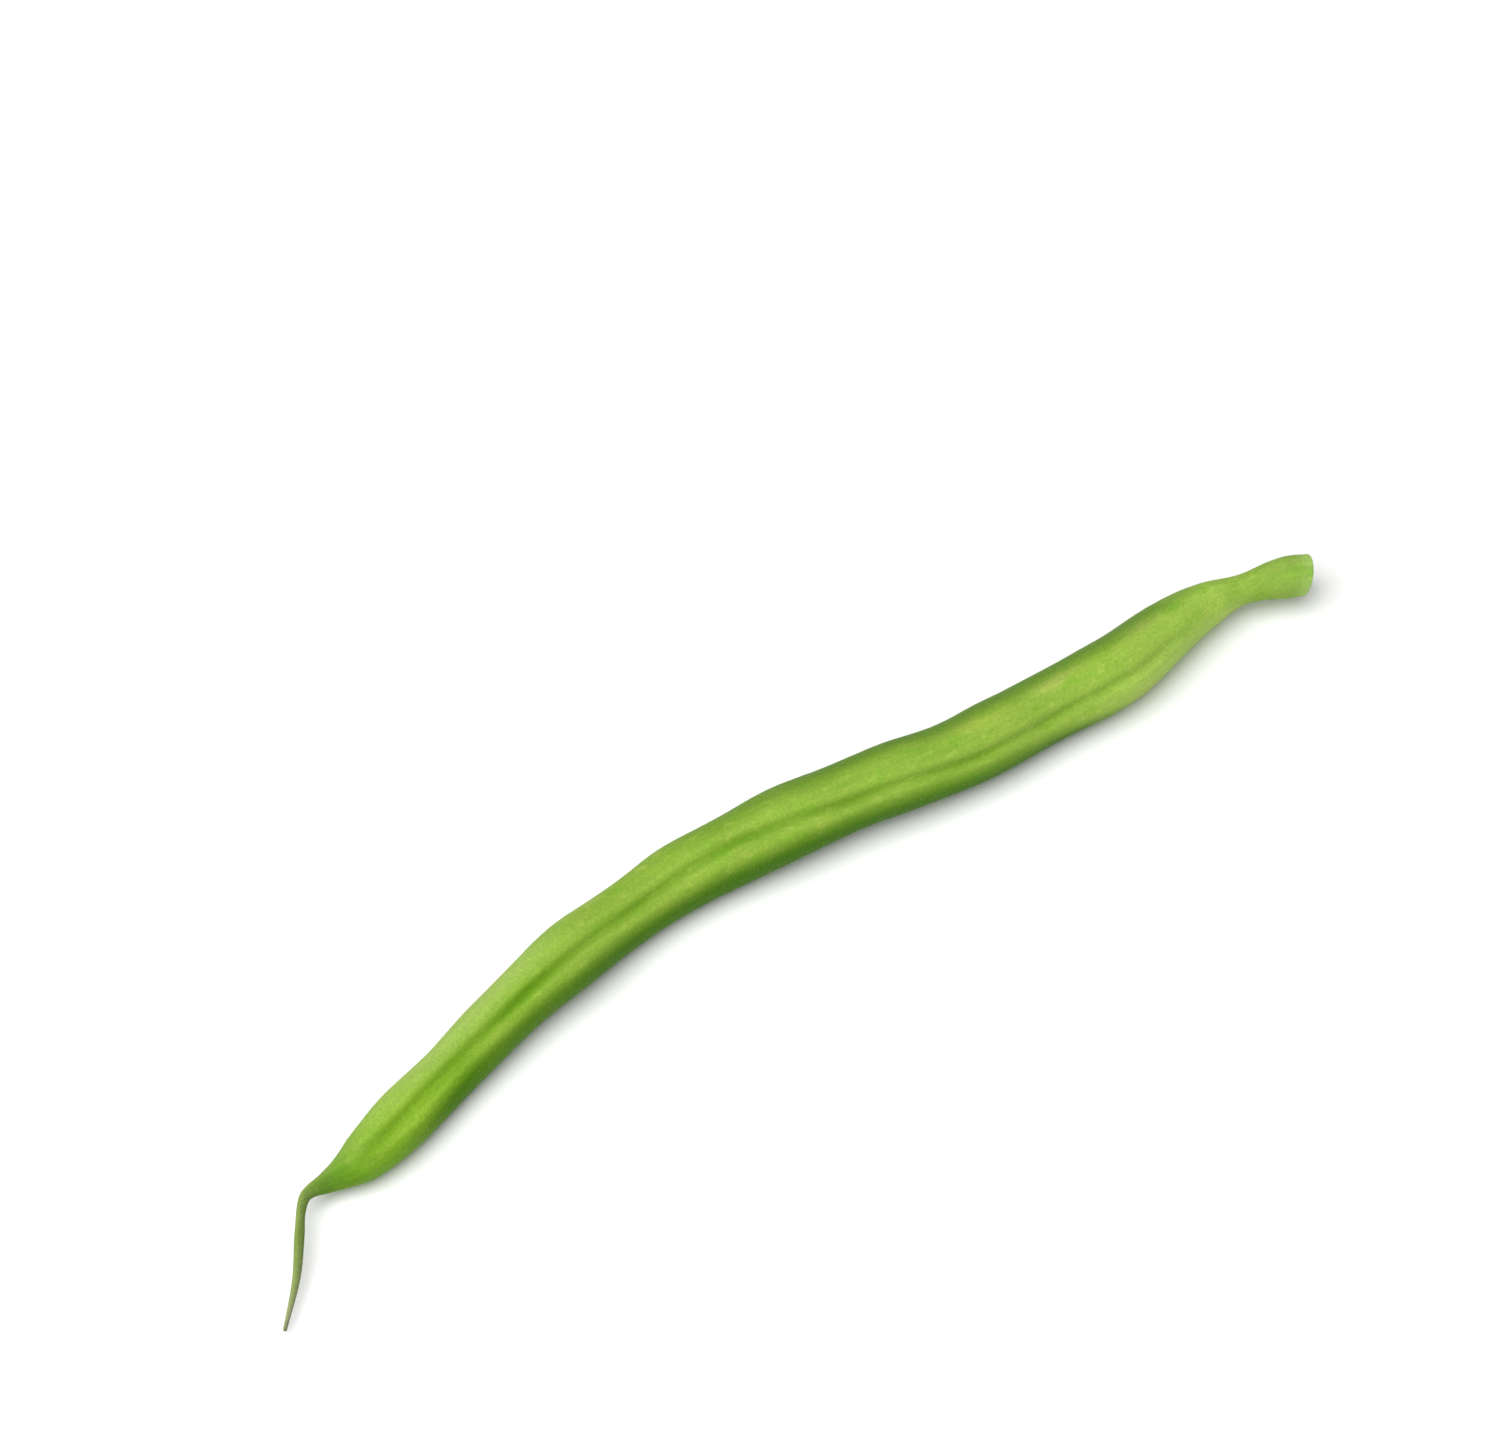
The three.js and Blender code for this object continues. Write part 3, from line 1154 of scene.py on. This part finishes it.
def down_tree():
    tree = bpy.data.node_groups.new("short down", "GeometryNodeTree")
    add_inputs(tree, DOWN_SIZES)
    tree.interface.new_socket("Geometry", in_out="OUTPUT", socket_type="NodeSocketGeometry")
    size = put(tree, "NodeGroupInput").outputs
    roots = hair_roots(tree, size)
    # a cone with no top radius
    cone = {"Vertices": HAIR_SIDES, "Radius Top": 0.0, "Radius Bottom": size["Hair Radius"]}
    hair = put(
        tree, "GeometryNodeMeshCone", {**cone, "Depth": size["Hair Length"]}, fill_type="NGON"
    ).outputs["Mesh"]
    scale = put(
        tree,
        "FunctionNodeRandomValue",
        {2: HAIR_SCALE[0], 3: HAIR_SCALE[1], "Seed": size["Seed"]},
        data_type="FLOAT",
    ).outputs[1]
    turned = hair_directions(tree, size, roots["Normal"])
    given = {"Points": roots["Points"], "Instance": hair, "Rotation": turned, "Scale": scale}
    down = put(tree, "GeometryNodeInstanceOnPoints", given).outputs[0]
    real = put(tree, "GeometryNodeRealizeInstances", {"Geometry": down}).outputs["Geometry"]
    place = put(tree, "GeometryNodeInputPosition").outputs["Position"]
    place = vector_sums(tree, "MINIMUM", place, size["Box High"])
    place = vector_sums(tree, "MAXIMUM", place, size["Box Low"])
    inside = put(tree, "GeometryNodeSetPosition", {"Geometry": real, "Position": place})
    dressed = with_material(tree, inside.outputs["Geometry"], size["Down"])
    put(tree, "NodeGroupOutput", {"Geometry": dressed})
    return tree


short_down = down_tree()
print("nodes in the down tree:", len(short_down.nodes))


# %% [markdown]
# The hairs are nearly clear, so they take on some green from the skin below and
# read as a pale bloom. A soft noise on the object's own coordinates lets their
# colour and gloss differ from place to place.
# %% Down material
DOWN_GREEN = (168, 196, 112)
DOWN_PALE = (206, 220, 164)
DOWN_BLOTCHES = (3.0, 3.0, 0.35, 0.65)
DOWN_ROUGHNESS = (0.5, 0.7)
DOWN_RELIEF = 0.005
DOWN_GLOSS = {"Specular IOR Level": 0.1}


def down_material():
    material, tree = fresh_material("bean down")
    here = put(tree, "ShaderNodeTexCoord").outputs["Object"]
    tone = blotches(tree, here, *DOWN_BLOTCHES)
    tint = mixed(tree, tone, colour(*DOWN_GREEN), colour(*DOWN_PALE))
    rough = eased(tree, tone, (0.0, 1.0), DOWN_ROUGHNESS)
    finish_shader(tree, tint, rough, times(tree, tone, DOWN_RELIEF * MM), DOWN_GLOSS)
    return material


down_finish = down_material()
print("down material made:", down_finish.name)


# %% [markdown]
# The tree runs on a copy of the skin, and only the hairs are kept, as a mesh of
# their own that rides with the pod.
# %% Grow the down
bare_skin = new_object("bare skin", pod_mesh.copy())
down_mesh = run_tree(bare_skin, short_down, DOWN_SIZES, {"Down": down_finish})
down = new_object("green_bean_down", down_mesh)
print("triangles of the down:", triangles(down_mesh))

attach(down, "root")


# %% [markdown]
# The pod lies on a wide plane, nearly white and matt like paper, which catches
# its soft shadow. It belongs to the stage and not to the part.
# %% Floor
FLOOR_SIZE = 6.0
FLOOR_FINISH = {
    "Base Color": (0.9, 0.9, 0.9, 1),
    "Roughness": 0.9,
    "Specular IOR Level": 0.1,
}


def floor_mesh():
    mesh = bpy.data.meshes.new("floor")
    reach = FLOOR_SIZE / 2
    places = [(-reach, -reach, 0), (reach, -reach, 0), (reach, reach, 0), (-reach, reach, 0)]
    mesh.from_pydata(places, [], [(0, 1, 2, 3)])
    paper = bpy.data.materials.new("white paper")
    paper.use_nodes = True
    for name, value in FLOOR_FINISH.items():
        paper.node_tree.nodes["Principled BSDF"].inputs[name].default_value = value
    mesh.materials.append(paper)
    return mesh


floor = new_object("floor", floor_mesh())
print("floor is", FLOOR_SIZE, "m wide")


# %% [markdown]
# The photo is lit softly from overhead, so the top of the pod is bright, its
# flank falls off to a deeper green, and its shadow stays close under it. One
# wide soft light above and a white sky for fill give that, and the painted shade
# on the skin deepens the flank. The place and the width of the light are in
# metres, and its power is in watts.
# %% Light
SOFTBOX_AT = (-0.42, -0.06, 0.9)
SOFTBOX_SIZE = 1.3
SOFTBOX_POWER = 16.2
SKY_COLOUR = (1, 1, 1, 1)
SKY_STRENGTH = 0.25

softbox = bpy.data.lights.new("wide softbox", "AREA")
softbox.shape = "DISK"
softbox.size = SOFTBOX_SIZE
softbox.energy = SOFTBOX_POWER
lamp = bpy.data.objects.new("wide softbox", softbox)
lamp.location = SOFTBOX_AT
lamp.rotation_euler = (-Vector(SOFTBOX_AT)).to_track_quat("-Z", "Y").to_euler()
bpy.context.scene.collection.objects.link(lamp)

world = bpy.data.worlds.new("white studio")
bpy.context.scene.world = world
world.use_nodes = True
sky = world.node_tree.nodes["Background"].inputs
sky["Color"].default_value = SKY_COLOUR
sky["Strength"].default_value = SKY_STRENGTH
bpy.context.scene.view_settings.view_transform = "Standard"
